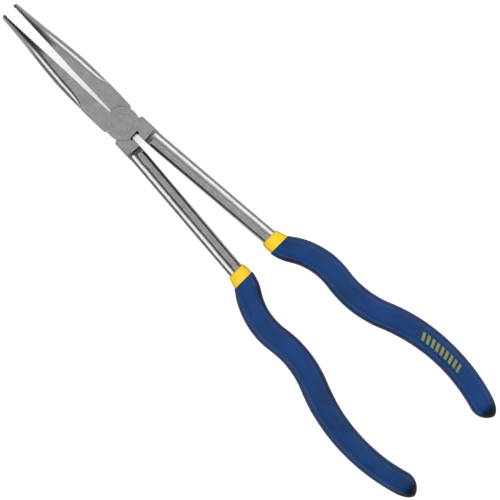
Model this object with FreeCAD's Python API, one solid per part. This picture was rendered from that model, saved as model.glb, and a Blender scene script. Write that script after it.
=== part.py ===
"""Long-reach needle nose pliers, 11 inches (279 mm) long when closed, lying flat with the jaws ajar.

Two drop-forged steel halves cross in a half-lap joint and turn on one countersunk rivet. The lower half
carries the right jaw and the left handle, and the upper half the left jaw and the right handle. Each
handle is a rod that is round outside, flatter inside and ground flat above and below. It goes on as a
curved tang, which is dipped twice: a yellow base coat, then a blue top coat that stops short of the
base coat's edge and leaves a yellow collar showing. Both dip lines are square to the tool's axis, since
the tool hung upright with its handles in the dip, and the coats ran down into a blunt point below.

Frame, in millimetres: +Z is the pivot axis and points up, +Y runs from the pivot to the jaw tips, +X is
to the right, and the origin is on the pivot axis in the plane of the joint's underside.
Each half is built closed, about a middle plane at Z = 0, and is then turned open and lifted.
"""
import FreeCAD
import Part

import math
import os

Vector = FreeCAD.Vector
X_AXIS, Y_AXIS, Z_AXIS = Vector(1, 0, 0), Vector(0, 1, 0), Vector(0, 0, 1)
ORIGIN = Vector(0, 0, 0)

# ---- Driving dimensions -------------------------------------------------------------------------
THICKNESS = 9.5            # joint and jaws, between the two ground flats
HALF_T = THICKNESS / 2
REST_OPENING = 4.2         # degrees between the two jaw faces in the stored pose

# Lap joint
BOSS_R = 7.55              # round lap boss of each half
SHOULDER_GAP = 0.15        # between a boss and the other half's hollow shoulders
LAP_PLAY = 0.04            # between the two lap faces
EDGE = 0.25                # chamfer along the flats of the jaw block and the handle root
CORNER_ROUND = 0.5         # rounding of their corners beside the boss

# Rivet
RIVET_R = 3.5
RIVET_HEAD_R = 4.7
RIVET_HEAD_DEPTH = 1.2
RIVET_PLAY = 0.05          # all round in the upper half; the lower half holds the rivet tight

# Jaws
JAW_PLAY = 0.03            # from the closing plane to each jaw face
RELIEF, RELIEF_END = 0.1, 34.0   # the faces meet ahead of this place only
JAW_SIDE = 8.1             # half width of the jaw block at the joint
JAW_SIDE_END = 10.0        # where that side starts to draw in
JAW_SHOULDER_ANGLE = 22.3  # from +X to the block's rear corner
# The nose. Each row is (ahead of the pivot, half width, half thickness, rounding of the outer edges).
GROUND_ROWS = [(17.0, 7.92, HALF_T, 0.3), (19.0, 7.84, HALF_T, 1.2), (21.0, 7.78, HALF_T, 2.3),
               (24.0, 7.73, HALF_T, 3.2), (27.5, 7.58, HALF_T, 3.6), (32.0, 7.29, HALF_T, 3.85),
               (36.0, 6.9, HALF_T, 3.95), (40.0, 6.4, HALF_T, 3.95), (45.0, 5.67, HALF_T, 3.8)]
THINNED_ROWS = [GROUND_ROWS[-1], (47.0, 5.38, 4.54, 3.7), (54.0, 4.3, 3.81, 3.4), (60.0, 3.48, 3.19, 2.9),
                (66.0, 2.68, 2.56, 2.3), (70.5, 2.08, 2.1, 1.8)]
TIP_ROUND = 0.9            # rounding of the tip's end
JAW_REACH = THINNED_ROWS[-1][0] + TIP_ROUND   # pivot axis to the tips
TOOTH_PITCH = 1.25
TOOTH_DEPTH = 0.4
TEETH_START, TEETH_END = 36.0, 69.75

# Handle root and rod
ROOT_INNER, ROOT_OUTER = 1.05, 8.4    # sides of the handle root behind the boss
ROOT_SHOULDER_ANGLE = 27.2            # from +X to the root's front corner
SLOT_END = 18.0                       # how far back the two roots' inner sides are milled flat
NOTCH_START, NOTCH_END = 6.9, 8.3     # sloping notch across the front of the slot, behind the pivot
NOTCH_HALF_W = 2.1
ROD_HALF_W = 3.7
ROD_HALF_T = 3.25                     # half thickness between the rod's own flats
ROD_FLAT_IN = 2.3                     # from the centre line to the flat's inner edge
ROD_ROUND_W = 4.45                    # half axis of the outer side's half ellipse, across the rod
ROD_FILLET = 2.8                      # hollow fillet where the rod leaves the root
FILLET_END = 14.9                     # where that fillet has run out, behind the pivot

# Handle centre line: a straight rod, then four arcs as (radius, turn in degrees; outwards is positive)
ROD_START = (14.0, 4.55)   # behind the pivot and out from the middle
ROD_SPLAY = 2.5            # degrees from the tool's axis, with the jaws closed
ROD_LENGTH = 69.4
BENDS = [(20.0, 28.5), (34.0, -41.5), (49.0, 31.0), (85.0, -45.0)]

# Tang and coats. Each row is (run from the first row, half width, half height).
STATION_SPACING = 5.0      # between the sections that a coat or the tang is lofted through
TANG_RUN, TANG_END = 67.8, 193.0     # it starts inside the rod, a little slimmer than that
TANG_FLAT = 0.29           # half width of its flats, as a share of its half width
TANG_ROWS = [(0.0, 3.45, 2.9), (2.0, 3.45, 2.9), (12.0, 3.9, 3.0), (92.0, 3.9, 3.0), (126.0, 3.4, 2.85)]
LINER_RUN, LINER_END = 67.5, 194.6
LINER_ROWS = [(0.0, 4.25, 3.65), (1.0, 4.6, 3.85), (2.6, 4.88, 3.98), (5.4, 5.12, 4.05),
              (76.0, 5.15, 4.1), (127.0, 4.5, 3.95)]
GRIP_RUN, GRIP_END = 73.0, 197.0
GRIP_ROWS = [(0.0, 5.6, 4.6), (1.2, 5.78, 4.82), (4.0, 5.85, 4.98), (7.0, 5.87, 5.03), (10.0, 5.87, 5.06),
             (26.0, 6.0, 5.15), (66.0, 6.12, 5.2), (82.0, 5.82, 5.15), (108.0, 5.52, 5.0), (124.0, 5.38, 4.9)]
LINER_SQUARENESS, GRIP_SQUARENESS = 3.0, 2.6   # superellipse exponents
DIP_HEADING = math.radians(-REST_OPENING / 2)  # the tool's axis in the stored pose, from the closed tool's
DIP_FADE = 10.0            # how far from its dip line a coat's sections are still turned
LINER_DOME, GRIP_DOME = 3.0, 7.5               # length of the coats' domed far ends, if they were whole
LINER_DRIP, GRIP_DRIP = 0.4, 2.0               # how far outwards the dome's point has run
DOME_ANGLES = (18, 36, 52, 66, 76)             # degrees round the dome, for the loft's last sections


# ---- Small helpers ------------------------------------------------------------------------------
def polar(radius, degrees):
    """Point in the XY plane."""
    angle = math.radians(degrees)
    return Vector(radius * math.cos(angle), radius * math.sin(angle), 0)


def line(a, b):
    return Part.LineSegment(a, b).toShape()


def arc(a, middle, b):
    return Part.Arc(a, middle, b).toShape()


def face(*edges):
    return Part.Face(Part.Wire(edges))


def polygon(*points):
    return Part.Face(Part.makePolygon(list(points) + [points[0]]))


def slab(outline, half_height=HALF_T):
    """A flat outline at Z = 0, drawn out both ways."""
    return outline.translated(Z_AXIS * -half_height).extrude(Z_AXIS * 2 * half_height)


def box(x0, x1, y0, y1, half_height=HALF_T):
    return Part.makeBox(x1 - x0, y1 - y0, 2 * half_height, Vector(x0, y0, -half_height))


def eased_corner(block, corner):
    """Round a block's corner, then chamfer the edges of both flats that follow its outer side."""
    upright = [edge for edge in block.Edges if edge.CenterOfMass.distanceToPoint(corner) < 0.01]
    block = block.makeFillet(CORNER_ROUND, upright)
    near_side = abs(corner.x) / 2 + 0.1
    rims = [edge for edge in block.Edges
            if abs(edge.CenterOfMass.z) > HALF_T - 0.01 and abs(edge.CenterOfMass.x) > near_side]
    return block.makeChamfer(EDGE, rims)


# ---- Jaw ----------------------------------------------------------------------------------------
def jaw_block():
    """The square-sided root of the jaw."""
    corner = Vector(JAW_SIDE, JAW_SIDE * math.tan(math.radians(JAW_SHOULDER_ANGLE)), 0)
    front, front_side = GROUND_ROWS[0][:2]
    block = slab(polygon(ORIGIN, corner, Vector(JAW_SIDE, JAW_SIDE_END, 0), Vector(front_side, front, 0),
                         Vector(0, front, 0)))
    return eased_corner(block, corner)


def nose_section(ahead, half_w, half_t, rounding):
    """A flat bar with rounded outer edges, square to the tool's axis. It reaches past the closing plane."""
    flat, side, bulge = half_w - rounding, half_t - rounding, rounding * (1 - math.sqrt(0.5))

    def at(x, z):
        return Vector(x, ahead, z)

    return Part.Wire([
        line(at(-1, -half_t), at(-1, half_t)),
        line(at(-1, half_t), at(flat, half_t)),
        arc(at(flat, half_t), at(half_w - bulge, half_t - bulge), at(half_w, side)),
        line(at(half_w, side), at(half_w, -side)),
        arc(at(half_w, -side), at(half_w - bulge, bulge - half_t), at(flat, -half_t)),
        line(at(flat, -half_t), at(-1, -half_t)),
    ])


def nose():
    """From square to rounded between the ground flats, then thinning to a rounded tip."""
    ground = Part.makeLoft([nose_section(*row) for row in GROUND_ROWS], True, False)
    sections = [nose_section(*row) for row in THINNED_ROWS]
    ahead, half_w, half_t, rounding = THINNED_ROWS[-1]
    for angle in (math.radians(35), math.radians(65), math.radians(90)):
        inset = TIP_ROUND * (1 - math.cos(angle))
        sections.append(nose_section(ahead + TIP_ROUND * math.sin(angle), half_w - inset, half_t - inset,
                                     rounding - inset))
    return ground.fuse(Part.makeLoft(sections, True, True))


def jaw_gap():
    """What the gripping face gives up: play, relief near the joint, and a comb of V grooves."""
    behind, ahead = Vector(-5, -5, 0), Vector(-5, 80, 0)
    points = [behind, Vector(JAW_PLAY + RELIEF, -5, 0), Vector(JAW_PLAY + RELIEF, RELIEF_END - 10, 0),
              Vector(JAW_PLAY, RELIEF_END, 0)]
    for i in range(round((TEETH_END - TEETH_START) / TOOTH_PITCH)):
        foot = TEETH_START + i * TOOTH_PITCH
        points.append(Vector(JAW_PLAY, foot, 0))
        points.append(Vector(JAW_PLAY + TOOTH_DEPTH, foot + TOOTH_PITCH / 2, 0))
    points += [Vector(JAW_PLAY, TEETH_END, 0), Vector(JAW_PLAY, 80, 0), ahead]
    return slab(polygon(*points), 2 * HALF_T)


# ---- Handle -------------------------------------------------------------------------------------
def centre_line(run):
    """Where the left handle's centre line is, `run` mm from the rod's start, and which way it heads."""
    behind, out = ROD_START
    heading = math.radians(ROD_SPLAY)
    stretches = [(ROD_LENGTH, 0.0)] + [(r * math.radians(abs(turn)), math.radians(turn)) for r, turn in BENDS]
    for length, turn in stretches:
        step = min(run, length)
        part = turn * step / length
        chord = step * math.sin(part / 2) / (part / 2) if part else step
        behind += chord * math.cos(heading + part / 2)
        out += chord * math.sin(heading + part / 2)
        heading += part
        run -= step
    return Vector(-out, -behind, 0), heading


def across(heading):
    """Unit vector square to the centre line, pointing outwards on the left handle."""
    return Vector(-math.cos(heading), math.sin(heading), 0)


def bar_section(run, flat_in, flat_out, half_w, half_t):
    """Two flats joined by a bulging inner and outer side, square to the centre line."""
    centre, heading = centre_line(run)
    out, up = across(heading), Z_AXIS * half_t
    inner, outer = centre - out * flat_in, centre + out * flat_out
    return Part.Wire([
        line(inner + up, outer + up),
        arc(outer + up, centre + out * half_w, outer - up),
        line(outer - up, inner - up),
        arc(inner - up, centre - out * half_w, inner + up),
    ])


def eased(rows, at):
    """Half width and half height at a place, between the rows of a table."""
    for (a, *low), (b, *high) in zip(rows, rows[1:]):
        if at <= b:
            share = max(0.0, (at - a) / (b - a))
            return [u + (v - u) * share for u, v in zip(low, high)]
    return rows[-1][1:]


def runs(start, end):
    """Stations about STATION_SPACING apart, both ends included."""
    count = math.ceil((end - start) / STATION_SPACING)
    return [start + (end - start) * i / count for i in range(count + 1)]


def rod_direction():
    heading = math.radians(ROD_SPLAY)
    return Vector(-math.sin(heading), -math.cos(heading), 0)


def rod():
    """The straight rod: a half ellipse outside, a flatter curve inside."""
    start, heading = centre_line(0)
    out, up = across(heading), Z_AXIS * ROD_HALF_T
    middle = start + out * (ROD_HALF_W - ROD_ROUND_W)
    inner = start - out * ROD_FLAT_IN
    half_ellipse = Part.ArcOfEllipse(Part.Ellipse(middle + out * ROD_ROUND_W, middle + up, middle),
                                     -math.pi / 2, math.pi / 2)
    section = face(
        line(inner + up, middle + up),
        half_ellipse.toShape(),
        line(middle - up, inner - up),
        arc(inner - up, start - out * ROD_HALF_W, inner + up),
    )
    return section.extrude(rod_direction() * ROD_LENGTH)


def tang():
    """The rod drawn out along the four bends."""
    sections = []
    for run in runs(TANG_RUN, TANG_END):
        half_w, half_t = eased(TANG_ROWS, run - TANG_RUN)
        sections.append(bar_section(run, half_w * TANG_FLAT, half_w * TANG_FLAT, half_w, half_t))
    return Part.makeLoft(sections, True, False)


def root():
    """The full-thickness root of the handle, which ends in a hollow fillet round the rod."""
    corner = Vector(-ROOT_OUTER, -ROOT_OUTER * math.tan(math.radians(ROOT_SHOULDER_ANGLE)), 0)
    inner_corner = Vector(-ROOT_INNER, -ROOT_INNER * math.tan(math.radians(ROOT_SHOULDER_ANGLE)), 0)
    behind = -FILLET_END - 1
    block = slab(polygon(inner_corner, corner, Vector(-ROOT_OUTER, behind, 0), Vector(-ROOT_INNER, behind, 0)))
    block = eased_corner(block, corner)
    # The fillet as a profile beside the middle of the rod's half ellipse: X is the distance from it. The
    # solid is first made round, then flattened to the ellipse.
    top = Vector(ROD_ROUND_W + ROD_FILLET, ROD_FILLET, 0)
    foot = Vector(ROD_ROUND_W, 0, 0)
    wide, far = 3 * top.x, 10 * ROD_FILLET
    profile = face(
        line(ORIGIN, foot),
        arc(foot, Vector(top.x, 0, 0) + polar(ROD_FILLET, 135), top),
        line(top, Vector(wide, top.y, 0)),
        line(Vector(wide, top.y, 0), Vector(wide, far, 0)),
        line(Vector(wide, far, 0), Vector(0, far, 0)),
        line(Vector(0, far, 0), ORIGIN),
    )
    round_side = profile.revolve(ORIGIN, Y_AXIS, 360)
    upright = profile.rotated(ORIGIN, Y_AXIS, -90)
    flat_side = upright.extrude(X_AXIS * 15).fuse(upright.mirror(ORIGIN, Z_AXIS).extrude(X_AXIS * 15))
    flattening = FreeCAD.Matrix()
    flattening.scale(1, 1, ROD_HALF_T / ROD_ROUND_W)
    fillet = round_side.fuse(flat_side).transformGeometry(flattening)
    start, heading = centre_line(FILLET_END - ROD_START[0])
    fillet.rotate(ORIGIN, Z_AXIS, -ROD_SPLAY)
    fillet.translate(start + across(heading) * (ROD_HALF_W - ROD_ROUND_W))
    return block.common(fillet)


def notches():
    """What the front of the slot gives up above and below, where the boss meets the two roots."""
    over = 0.5
    high, foot = HALF_T + over, HALF_T + NOTCH_START - NOTCH_END
    upper = polygon(Vector(-NOTCH_HALF_W, over - NOTCH_START, high), Vector(-NOTCH_HALF_W, -NOTCH_END, high),
                    Vector(-NOTCH_HALF_W, -NOTCH_END, foot)).extrude(X_AXIS * 2 * NOTCH_HALF_W)
    return upper.fuse(upper.mirror(ORIGIN, Z_AXIS))


# ---- Coats --------------------------------------------------------------------------------------
def coat_section(run, half_w, half_t, squareness, square_on=0.0, shift=0.0):
    """A superellipse across the centre line. With square_on 1 it is square to the tool's axis instead."""
    centre, heading = centre_line(run)
    out = across(heading + (DIP_HEADING - heading) * square_on)
    count = 24
    points = []
    for i in range(count):
        c, s = math.cos(2 * math.pi * i / count), math.sin(2 * math.pi * i / count)
        points.append(centre + out * (shift + half_w * math.copysign(abs(c) ** (2 / squareness), c))
                      + Z_AXIS * (half_t * math.copysign(abs(s) ** (2 / squareness), s)))
    curve = Part.BSplineCurve()
    curve.interpolate(Points=points, PeriodicFlag=True)
    return Part.Wire([curve.toShape()])


def coat(start, end, rows, squareness, dome, drip):
    """A dipped coat as a solid, right through to the middle, with a domed far end."""
    stop = end - dome
    places = [start + row[0] for row in rows[:3]] + runs(start + rows[3][0], stop)
    sections = []
    for run in places:
        square_on = max(0.0, 1 - (run - start) / DIP_FADE) ** 2
        sections.append(coat_section(run, *eased(rows, run - start), squareness, square_on))
    for angle in map(math.radians, DOME_ANGLES):
        run, share = stop + dome * math.sin(angle), math.cos(angle)
        half_w, half_t = eased(rows, run - start)
        sections.append(coat_section(run, half_w * share, half_t * share, squareness, 0.0, drip * (1 - share)))
    return Part.makeLoft(sections, True, False)


# ---- Halves and rivet ---------------------------------------------------------------------------
def rivet(play=0.0):
    """Countersunk at both ends and ground flush. With play it is the hole that it turns in."""
    shank, head = RIVET_R + play, RIVET_HEAD_R + play
    body = Part.makeCylinder(shank, THICKNESS, Z_AXIS * -HALF_T)
    for sign in (1, -1):
        body = body.fuse(Part.makeCone(head, shank, RIVET_HEAD_DEPTH, Z_AXIS * sign * HALF_T, Z_AXIS * -sign))
    return body.removeSplitter()


def forged_half(rivet_play):
    """The half with the right jaw, the lower lap and the left handle, closed."""
    jaw = jaw_block().fuse(nose()).cut(jaw_gap())
    handle = root().fuse(rod()).cut(box(-ROOT_INNER, 5, -SLOT_END, 0, THICKNESS)).fuse(tang())
    boss = Part.makeCylinder(BOSS_R, HALF_T - LAP_PLAY / 2, Z_AXIS * -HALF_T)
    hollow = Part.makeCylinder(BOSS_R + SHOULDER_GAP, THICKNESS, Z_AXIS * (-LAP_PLAY / 2))
    return jaw.fuse(handle).cut(hollow).fuse(boss).cut(notches()).cut(rivet(rivet_play)).removeSplitter()


def placed(shape, upper):
    """A shape of the closed lower half, put in its place in the open tool."""
    shape = shape.copy()
    if upper:
        shape.rotate(ORIGIN, Y_AXIS, 180)
    shape.rotate(ORIGIN, Z_AXIS, REST_OPENING / 2 if upper else -REST_OPENING / 2)
    shape.translate(Z_AXIS * HALF_T)
    return shape


def main():
    os.makedirs("parts", exist_ok=True)
    liner = coat(LINER_RUN, LINER_END, LINER_ROWS, LINER_SQUARENESS, LINER_DOME, LINER_DRIP)
    grip = coat(GRIP_RUN, GRIP_END, GRIP_ROWS, GRIP_SQUARENESS, GRIP_DOME, GRIP_DRIP).cut(liner)
    nodes = {"pivot_rivet": rivet().translated(Z_AXIS * HALF_T)}
    for upper, half_name, side in ((False, "lower_forged_half", "left"), (True, "upper_forged_half", "right")):
        half = forged_half(RIVET_PLAY if upper else 0.0)
        nodes[half_name] = placed(half, upper)
        nodes[side + "_base_coat"] = placed(liner.cut(half), upper)
        nodes[side + "_grip"] = placed(grip, upper)
    for name, shape in nodes.items():
        size = shape.optimalBoundingBox()
        print(f"{name:20} {len(shape.Solids)} solid  valid {shape.isValid()}  {shape.Volume / 1000:.2f} cm3  "
              f"X {size.XMin:.2f} {size.XMax:.2f}  Y {size.YMin:.2f} {size.YMax:.2f}  "
              f"Z {size.ZMin:.2f} {size.ZMax:.2f}")
        shape.exportStep(f"parts/{name}.step")


main()
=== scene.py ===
"""Looks for the long-reach needle nose pliers: ground and polished steel, and double-dipped vinyl grips.

The steel halves and the rivet are the CAD parts with steel materials. The yellow base coats and the blue
grips are rebuilt as finer tubes along the same centre line, with rounded dip lines and soft unevenness.
Everything is in metres, in the part's frame: +Y to the jaw tips, +Z up the pivot axis.
"""

import bpy
import math
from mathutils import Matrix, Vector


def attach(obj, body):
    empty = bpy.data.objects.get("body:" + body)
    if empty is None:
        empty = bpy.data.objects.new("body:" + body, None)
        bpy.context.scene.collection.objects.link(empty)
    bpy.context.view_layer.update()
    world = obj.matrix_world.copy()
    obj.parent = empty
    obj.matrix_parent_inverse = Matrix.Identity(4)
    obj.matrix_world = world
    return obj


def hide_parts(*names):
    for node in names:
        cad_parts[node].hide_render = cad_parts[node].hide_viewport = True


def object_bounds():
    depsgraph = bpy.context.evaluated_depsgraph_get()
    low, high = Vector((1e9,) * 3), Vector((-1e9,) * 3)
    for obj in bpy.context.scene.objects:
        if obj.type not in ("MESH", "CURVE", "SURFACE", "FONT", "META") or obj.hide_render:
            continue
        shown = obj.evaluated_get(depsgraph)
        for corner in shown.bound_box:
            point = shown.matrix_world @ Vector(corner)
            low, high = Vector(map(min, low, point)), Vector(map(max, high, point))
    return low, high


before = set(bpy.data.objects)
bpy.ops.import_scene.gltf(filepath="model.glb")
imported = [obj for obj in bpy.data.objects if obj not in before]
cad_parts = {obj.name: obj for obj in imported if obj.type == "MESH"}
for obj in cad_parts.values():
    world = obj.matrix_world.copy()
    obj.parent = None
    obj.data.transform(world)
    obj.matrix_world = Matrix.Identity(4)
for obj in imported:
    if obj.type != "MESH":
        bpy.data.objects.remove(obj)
CAD_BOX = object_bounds()
MM = 0.001

# ---- The handle's centre line and the coats over it, in millimetres as in the CAD model ----------
REST_TURN = 2.1            # degrees that each half is turned open from closed
ROD_START = (14.0, 4.55)   # behind the pivot and out from the middle, closed
ROD_SPLAY = 2.5            # degrees
ROD_LENGTH = 69.4
BENDS = [(20.0, 28.5), (34.0, -41.5), (49.0, 31.0), (85.0, -45.0)]
MIDDLE_Z = 4.75

# (run from the coat's start, half width, half height)
BASE_RUN, BASE_END = 67.5, 194.6
BASE_ROWS = [(0.0, 4.25, 3.65), (1.0, 4.6, 3.85), (2.6, 4.88, 3.98), (5.4, 5.12, 4.05),
             (76.0, 5.15, 4.1), (127.0, 4.5, 3.95)]
GRIP_RUN, GRIP_END = 73.0, 197.0
GRIP_ROWS = [(0.0, 5.6, 4.6), (1.2, 5.78, 4.82), (4.0, 5.85, 4.98), (7.0, 5.87, 5.03), (10.0, 5.87, 5.06),
             (26.0, 6.0, 5.15), (66.0, 6.12, 5.2), (82.0, 5.82, 5.15), (108.0, 5.52, 5.0), (124.0, 5.38, 4.9)]
BASE_SQUARENESS, GRIP_SQUARENESS = 3.0, 2.6
DIP_FADE = 10.0            # how far from its dip line a coat is still turned square to the tool
BASE_DOME, GRIP_DOME = 3.0, 7.5
BASE_DRIP, GRIP_DRIP = 0.4, 2.0
BASE_LIP, GRIP_LIP = 0.45, 0.35              # rounding of the dip line
BASE_UNEVENNESS, GRIP_UNEVENNESS = 0.02, 0.05
SKIN_SIDES, SKIN_STEP = 72, 0.8              # points round a coat, and the length between its rings

# The plain hatching printed on the right grip: where along the grip, and how wide, in millimetres
HATCH_START, HATCH_END, HATCH_HALF_W, HATCH_PITCH = 148.2, 171.6, 1.9, 2.6
HATCH_SLANT, HATCH_SOFT = 0.35, 0.15

# ---- Where each finish and each painted shade begins and is complete ------------------------------
# Ahead of the pivot axis, in metres: where the flats and the rounds at the tips take a painted dark
# reflection, and where the flats stop
FLATS_PAINTED_DARK, FLATS_STOP, TIPS_PAINTED_DARK = (0.038, 0.047), (0.049, 0.04), (0.046, 0.056)
# By the share of the surface's direction that points up, inwards, to the right, or forwards. The steel's
# steep and inward ranges and the vinyl's side and end ranges set where painted shade falls; the right-facing
# range sets where the steep steel is painted lighter.
STEEL_FLAT, STEEL_STEEP_SHADE = (0.988, 0.995), (0.84, 0.75)
STEEL_INWARD_SHADE, STEEL_RIGHT_LIGHTER = (0.1, 0.45), (-0.2, 0.2)
VINYL_SIDE_SHADE, VINYL_GLOSSY, VINYL_END_SHADE = (0.8, 0.5), (0.65, 0.9), (-0.1, -0.45)

# ---- Colours, as linear red, green, blue and alpha ------------------------------------------------
# Each vinyl has its colour, the same where the dip is deeper, its sides in painted shade, and its far end in
# a deeper painted shade
YELLOWS = ((0.54, 0.37, 0.0005, 1), (0.52, 0.335, 0.0005, 1),
           (0.44, 0.29, 0.001, 1), (0.36, 0.2, 0.001, 1))
BLUES = ((0.001, 0.0235, 0.108, 1), (0.001, 0.019, 0.07, 1),
         (0.002, 0.014, 0.048, 1), (0.001, 0.003, 0.008, 1))
YELLOW_GLOSS, BLUE_GLOSS = 0.8, 0.5
INK = (0.14, 0.145, 0.032, 1)
FORGED_TONE, RIVET_TONE = 0.25, 0.245

# ---- Camera ---------------------------------------------------------------------------------------
VIEW_CENTRE = (0.0004, -0.0791)
VIEW_DISTANCE, VIEW_WIDTH, VIEW_ROLL = 0.87, 0.22125, -45
SENSOR_WIDTH = 36


# ---- Shader graph helper --------------------------------------------------------------------------
class Graph:
    """Builds a node tree. A socket's value may be a number, a colour, or another node's output."""

    def __init__(self, tree):
        self.tree = tree
        self.tree.nodes.clear()

    def add(self, kind, out=0, settings=None, **sockets):
        node = self.tree.nodes.new("ShaderNode" + kind)
        for key, value in (settings or {}).items():
            setattr(node, key, value)
        for key, value in sockets.items():
            label = key.replace("_", " ")
            socket = node.inputs[int(key[1:])] if key[0] == "i" and key[1:].isdigit() else node.inputs[label]
            if isinstance(value, bpy.types.NodeSocket):
                self.tree.links.new(value, socket)
            else:
                socket.default_value = value
        return node.outputs[out] if node.outputs else None

    def math(self, operation, a, b=0.0, c=0.0):
        return self.add("Math", settings={"operation": operation}, i0=a, i1=b, i2=c)

    def remap(self, value, low, high, new_low=0.0, new_high=1.0):
        return self.add("MapRange", settings={"interpolation_type": "SMOOTHSTEP"}, Value=value,
                        From_Min=low, From_Max=high, To_Min=new_low, To_Max=new_high)

    def blend(self, factor, a, b):
        return self.add("Mix", out=2, settings={"data_type": "RGBA"}, i0=factor, i6=a, i7=b)

    def lerp(self, factor, a, b):
        return self.add("Mix", out=0, settings={"data_type": "FLOAT"}, i0=factor, i2=a, i3=b)

    def noise(self, coords, scale, detail=3.0, stretch=(1, 1, 1)):
        """Noise whose features are about 1 / scale metres across."""
        placed = self.add("Mapping", Vector=coords, Scale=stretch)
        return self.add("TexNoise", Vector=placed, Scale=scale, Detail=detail)


def material(name):
    made = bpy.data.materials.new(name)
    made.use_nodes = True
    return made, Graph(made.node_tree)


def grey(value):
    return (value, value, value, 1)


# ---- Materials ------------------------------------------------------------------------------------
def steel(name, tone):
    """Satin where the surface is ground flat, polished where it is round, with a painted dark reflection at
    the tips and painted shade down the sides.
    """
    made, g = material(name)
    place = g.add("TexCoord", out="Object")
    facing = g.add("TexCoord", out="Normal")
    up = g.math("ABSOLUTE", g.add("SeparateXYZ", out=2, Vector=facing))
    side = g.math("SIGN", g.add("SeparateXYZ", out=0, Vector=place))
    across = g.add("SeparateXYZ", out=0, Vector=facing)
    inward = g.math("MULTIPLY", g.math("MULTIPLY", across, side), -1.0)
    ahead = g.add("SeparateXYZ", out=1, Vector=place)
    ground = g.math("MULTIPLY", g.remap(up, *STEEL_FLAT), g.remap(ahead, *FLATS_STOP))
    grain = g.noise(place, 9000, 2, (1, 0.03, 1))
    blotch = g.noise(place, 240, 4)
    flecks = g.noise(place, 1100, 3, (1, 0.6, 1))
    wave = g.noise(place, 150, 2, (1, 0.35, 1))
    # Colour: the ground flats are a warm grey, faintly mottled, with pale and dark flecks.
    flat_tone = g.blend(g.remap(blotch, 0.3, 0.7), (tone * 0.9, tone * 0.905, tone * 0.855, 1),
                        (tone * 1.04, tone * 1.045, tone, 1))
    flat_tone = g.blend(g.math("MULTIPLY", g.remap(flecks, 0.55, 0.75), 0.6), flat_tone, grey(tone * 1.4))
    flat_tone = g.blend(g.math("MULTIPLY", g.remap(flecks, 0.42, 0.28), 0.6), flat_tone, grey(tone * 0.65))
    # Painted dark reflection: towards the tips the flats turn near-black.
    flat_tone = g.blend(g.remap(ahead, *FLATS_PAINTED_DARK), flat_tone, grey(0.05))
    round_tone = g.blend(g.remap(blotch, 0.3, 0.7), grey(0.7), grey(0.78))
    # Painted shade: the steep sides are darker, less so where they face right, and the inner sides are
    # darker; the rounds at the tips take a painted dark reflection.
    steep_painted_shade = g.blend(g.remap(across, *STEEL_RIGHT_LIGHTER), grey(0.09), grey(0.165))
    round_tone = g.blend(g.remap(up, *STEEL_STEEP_SHADE), round_tone, steep_painted_shade)
    # Painted dark reflection: towards the tips the rounds turn dark.
    round_tone = g.blend(g.remap(ahead, *TIPS_PAINTED_DARK), round_tone, grey(0.22))
    # Painted shade: the sides that face the other half turn dark.
    round_tone = g.blend(g.remap(inward, *STEEL_INWARD_SHADE), round_tone, grey(0.19))
    colour = g.blend(ground, round_tone, flat_tone)
    # Roughness: brushed lines on the flats, faint polishing lines on the rounds.
    flat_rough = g.math("ADD", g.remap(grain, 0.25, 0.75, 0.4, 0.52), g.remap(blotch, 0.3, 0.7, -0.03, 0.03))
    round_rough = g.math("ADD", g.remap(grain, 0.3, 0.7, 0.13, 0.2), g.remap(blotch, 0.3, 0.7, -0.02, 0.03))
    rough = g.lerp(ground, round_rough, flat_rough)
    metal = g.lerp(ground, 1.0, 0.5)
    lines = g.add("Bump", Strength=0.25, Distance=0.00002, Height=grain)
    relief = g.add("Bump", Strength=0.4, Distance=0.00006, Height=wave, Normal=lines)
    shader = g.add("BsdfPrincipled", Base_Color=colour, Metallic=metal, Roughness=rough, Normal=relief)
    g.add("OutputMaterial", Surface=shader)
    return made


def vinyl(name, colour, deep, side_painted_shade, end, gloss, hatched=False):
    """Dipped vinyl: slow changes in depth, glossy on top, dull down the sides with painted shade there and at
    the far end, slightly pitted.
    """
    made, g = material(name)
    place = g.add("TexCoord", out="Object")
    facing = g.add("TexCoord", out="Normal")
    up = g.math("ABSOLUTE", g.add("SeparateXYZ", out=2, Vector=facing))
    slow = g.noise(place, 70, 3)
    peel = g.noise(place, 900, 2)
    scuff = g.noise(place, 260, 5, (1, 0.5, 1))
    tint = g.blend(g.remap(slow, 0.3, 0.7), deep, colour)
    if hatched:
        tint = g.blend(hatching(g, scuff), tint, INK)
    # Painted shade: the sides take the darker side colour.
    tint = g.blend(g.remap(up, *VINYL_SIDE_SHADE), tint, side_painted_shade)
    # Painted shade: surfaces facing back, at the far end, take the darkest colour.
    tint = g.blend(g.remap(g.add("SeparateXYZ", out=1, Vector=facing), *VINYL_END_SHADE), tint, end)
    top = g.remap(up, *VINYL_GLOSSY)
    bump = g.add("Bump", Strength=0.35, Distance=0.00004, Height=peel)
    bump = g.add("Bump", Strength=0.4, Distance=0.0003, Height=slow, Normal=bump)
    shader = g.add("BsdfPrincipled", Base_Color=tint, Roughness=g.remap(scuff, 0.35, 0.7, 0.42, 0.55),
                   Specular_IOR_Level=0.1, Normal=bump,
                   Coat_Weight=g.math("MULTIPLY", top, g.remap(scuff, 0.35, 0.7, gloss * 1.2, gloss * 0.8)),
                   Coat_Roughness=0.24)
    g.add("OutputMaterial", Surface=shader)
    return made


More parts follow.
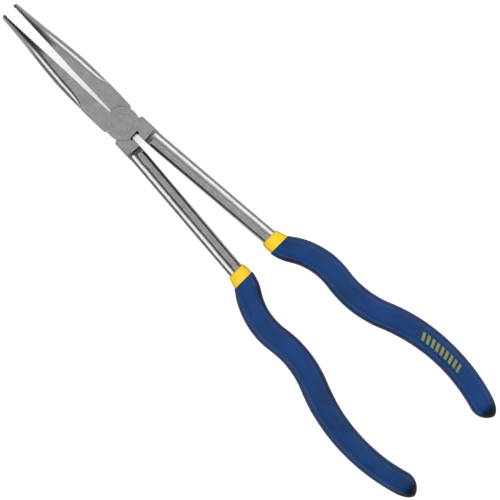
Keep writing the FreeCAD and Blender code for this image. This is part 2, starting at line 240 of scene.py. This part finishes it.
def hatching(g, wear):
    """A row of plain slanting bars along the top of the grip, a little worn. UV is run and offset in cm."""
    uv = g.add("UVMap", settings={"uv_map": "run"})
    along = g.math("MULTIPLY", g.add("SeparateXYZ", out=0, Vector=uv), 10.0)
    across = g.math("MULTIPLY", g.add("SeparateXYZ", out=1, Vector=uv), 10.0)
    slanted = g.math("ADD", along, g.math("MULTIPLY", across, HATCH_SLANT))
    bar = g.math("PINGPONG", slanted, HATCH_PITCH / 2)
    middle, reach = (HATCH_START + HATCH_END) / 2, (HATCH_END - HATCH_START) / 2
    mask = g.remap(bar, HATCH_PITCH * 0.2, HATCH_PITCH * 0.26)
    far = g.math("ABSOLUTE", g.math("SUBTRACT", slanted, middle))
    mask = g.math("MULTIPLY", mask, g.remap(far, reach, reach - HATCH_SOFT))
    offset = g.math("ABSOLUTE", across)
    mask = g.math("MULTIPLY", mask, g.remap(offset, HATCH_HALF_W, HATCH_HALF_W - HATCH_SOFT))
    top = g.add("SeparateXYZ", out=2, Vector=g.add("TexCoord", out="Normal"))
    mask = g.math("MULTIPLY", mask, g.remap(top, 0.1, 0.3))
    return g.math("MULTIPLY", mask, g.remap(wear, 0.75, 0.5, 0.5, 1.0))


# ---- Coats ----------------------------------------------------------------------------------------
def centre_line(run):
    """The left handle's centre line at rest, `run` mm from the rod's start: place and heading."""
    behind, out = ROD_START
    heading = math.radians(ROD_SPLAY)
    stretches = [(ROD_LENGTH, 0.0)]
    stretches += [(r * math.radians(abs(turn)), math.radians(turn)) for r, turn in BENDS]
    for length, turn in stretches:
        step = min(run, length)
        part = turn * step / length
        chord = step * math.sin(part / 2) / (part / 2) if part else step
        behind += chord * math.cos(heading + part / 2)
        out += chord * math.sin(heading + part / 2)
        heading += part
        run -= step
    turn = math.radians(REST_TURN)
    place = (-out * math.cos(turn) - behind * math.sin(turn), out * math.sin(turn) - behind * math.cos(turn))
    return place, heading + turn


def size_at(rows, at):
    """Half width and half height at a place in a table, straight from row to row."""
    for (a, *low), (b, *high) in zip(rows, rows[1:]):
        if at <= b:
            share = max(0.0, (at - a) / (b - a))
            return [u + (v - u) * share for u, v in zip(low, high)]
    return rows[-1][1:]


def smooth_size(rows, at, reach):
    """The table's size averaged over a reach each way, so that it has no kinks."""
    steps = 9
    reach = min(reach, at)
    sizes = [size_at(rows, at + reach * (2 * i / (steps - 1) - 1)) for i in range(steps)]
    return [sum(size[k] for size in sizes) / steps for k in (0, 1)]


def coat(name, side, run, end, rows, squareness, dome, drip, lip, unevenness, made):
    """A dipped coat as a closed tube skin, from its dip line over a rounded lip to its domed far end."""
    stop = end - dome
    # Each ring is (run, inset, share of the full size, shift outwards).
    rings = [(run + 0.02, -lip - 0.7, 1.0, 0.0)]
    for k in range(7):
        angle = math.radians(15 * k)
        rings.append((run + lip * (1 - math.cos(angle)), lip * (math.sin(angle) - 1), 1.0, 0.0))
    count = round((stop - run - lip) / SKIN_STEP)
    rings += [(run + lip + (stop - run - lip) * i / count, 0.0, 1.0, 0.0) for i in range(1, count + 1)]
    for k in range(1, 18):
        angle = math.radians(5.1 * k)
        share = math.cos(angle)
        rings.append((stop + dome * math.sin(angle), 0.0, share, drip * (1 - share)))
    vertices, places = [], []
    for at, inset, share, shift in rings:
        (x, y), heading = centre_line(at)
        heading *= 1 - max(0.0, 1 - (at - run) / DIP_FADE) ** 2
        out = (-math.cos(heading), math.sin(heading))
        half_w, half_t = smooth_size(rows, at - run, 1.2)
        for i in range(SKIN_SIDES):
            angle = 2 * math.pi * i / SKIN_SIDES
            c, s = math.cos(angle), math.sin(angle)
            swell = math.sin(0.21 * at + 2 * angle + side) + math.sin(0.13 * at - 3 * angle + 2)
            swell = inset + unevenness * share * swell / 2
            w = shift + (half_w * share + swell) * math.copysign(abs(c) ** (2 / squareness), c)
            t = (half_t * share + swell) * math.copysign(abs(s) ** (2 / squareness), s)
            vertices.append((-side * (x + out[0] * w) * MM, (y + out[1] * w) * MM, (MIDDLE_Z + t) * MM))
            places.append((at / 10, w / 10))
    faces = []
    for ring in range(len(rings) - 1):
        for i in range(SKIN_SIDES):
            a, b = ring * SKIN_SIDES + i, ring * SKIN_SIDES + (i + 1) % SKIN_SIDES
            faces.append((a, b, b + SKIN_SIDES, a + SKIN_SIDES))
    last = (len(rings) - 1) * SKIN_SIDES
    faces.append(tuple(last + i for i in range(SKIN_SIDES)))
    faces.append(tuple(reversed(range(SKIN_SIDES))))
    if side > 0:
        faces = [tuple(reversed(f)) for f in faces]
    mesh = bpy.data.meshes.new(name)
    mesh.from_pydata(vertices, [], faces)
    uv = mesh.uv_layers.new(name="run")
    for corner in mesh.loops:
        uv.data[corner.index].uv = places[corner.vertex_index]
    mesh.materials.append(made)
    mesh.shade_smooth()
    piece = bpy.data.objects.new(name, mesh)
    bpy.context.collection.objects.link(piece)
    return piece


# ---- Stage ----------------------------------------------------------------------------------------
def stage(floor_z):
    """A broad sheet of white paper under the pliers, slightly luminous."""
    mesh = bpy.data.meshes.new("floor")
    reach = 6.0
    mesh.from_pydata([(-reach, -reach, floor_z), (reach, -reach, floor_z), (reach, reach, floor_z),
                      (-reach, reach, floor_z)], [], [(0, 1, 2, 3)])
    floor = bpy.data.objects.new("floor", mesh)
    bpy.context.collection.objects.link(floor)
    made, g = material("floor_paper")
    place = g.add("TexCoord", out="Object")
    tone = g.blend(g.noise(place, 400, 3), grey(0.45), grey(0.47))
    paper = g.add("BsdfPrincipled", Base_Color=tone, Roughness=0.9, Specular_IOR_Level=0.1,
                  Emission_Color=grey(1.0), Emission_Strength=0.62)
    g.add("OutputMaterial", Surface=paper)
    mesh.materials.append(made)


def sky():
    """Pale walls to the left and right and a dim room above, which the camera sees as plain white."""
    world = bpy.data.worlds.new("studio")
    bpy.context.scene.world = world
    world.use_nodes = True
    g = Graph(world.node_tree)
    right = g.add("SeparateXYZ", out=0, Vector=g.add("TexCoord", out="Generated"))
    dark = g.remap(right, 0.0, 0.5, 0.1, 0.36)
    level = g.lerp(g.remap(g.math("ABSOLUTE", right), 0.73, 0.58), 1.15, dark)
    level = g.lerp(g.add("LightPath", out="Is Camera Ray"), level, 1.0)
    g.add("OutputWorld", Surface=g.add("Background", Color=grey(1.0), Strength=level))


def softbox(top):
    """A broad lamp overhead that lights without being mirrored in the steel."""
    data = bpy.data.lights.new("softbox", "AREA")
    data.shape = "DISK"
    data.size = 1.4
    data.energy = 30.0
    lamp = bpy.data.objects.new("softbox", data)
    lamp.location = (0.0, VIEW_CENTRE[1], top + 1.3)
    lamp.visible_glossy = False
    bpy.context.collection.objects.link(lamp)


def camera(top):
    """Straight above, rolled so that the tips point up and to the left."""
    data = bpy.data.cameras.new("camera")
    data.sensor_width = SENSOR_WIDTH
    data.lens = SENSOR_WIDTH * VIEW_DISTANCE / VIEW_WIDTH
    data.clip_end = 20
    seen = bpy.data.objects.new("camera", data)
    seen.location = (*VIEW_CENTRE, top + VIEW_DISTANCE)
    seen.rotation_euler = (0, 0, math.radians(VIEW_ROLL))
    bpy.context.collection.objects.link(seen)
    bpy.context.scene.camera = seen


# ---- Putting it together --------------------------------------------------------------------------
forged = steel("forged_steel_look", FORGED_TONE)
pin = steel("rivet_steel_look", RIVET_TONE)
for node, look in (("lower_forged_half", forged), ("upper_forged_half", forged), ("pivot_rivet", pin)):
    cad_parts[node].material_slots[0].material = look

yellow = vinyl("yellow_vinyl_look", *YELLOWS, YELLOW_GLOSS)
blue = vinyl("blue_vinyl_look", *BLUES, BLUE_GLOSS)
hatched_blue = vinyl("hatched_blue_vinyl_look", *BLUES, BLUE_GLOSS, hatched=True)
for side, word, body, grip_look in ((-1, "left", "lower_half", blue),
                                    (1, "right", "upper_half", hatched_blue)):
    base = coat(f"{word}_yellow_base_coat", side, BASE_RUN, BASE_END, BASE_ROWS, BASE_SQUARENESS, BASE_DOME,
                BASE_DRIP, BASE_LIP, BASE_UNEVENNESS, yellow)
    grip = coat(f"{word}_blue_grip", side, GRIP_RUN, GRIP_END, GRIP_ROWS, GRIP_SQUARENESS, GRIP_DOME,
                GRIP_DRIP, GRIP_LIP, GRIP_UNEVENNESS, grip_look)
    for piece, node, slot in ((base, f"{word}_base_coat", "yellow_vinyl"),
                              (grip, f"{word}_grip", "blue_vinyl")):
        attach(piece, body)
        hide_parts(node)

stage(CAD_BOX[0][2])
sky()
softbox(MIDDLE_Z * MM)
camera(MIDDLE_Z * MM)
bpy.context.scene.view_settings.view_transform = "Standard"
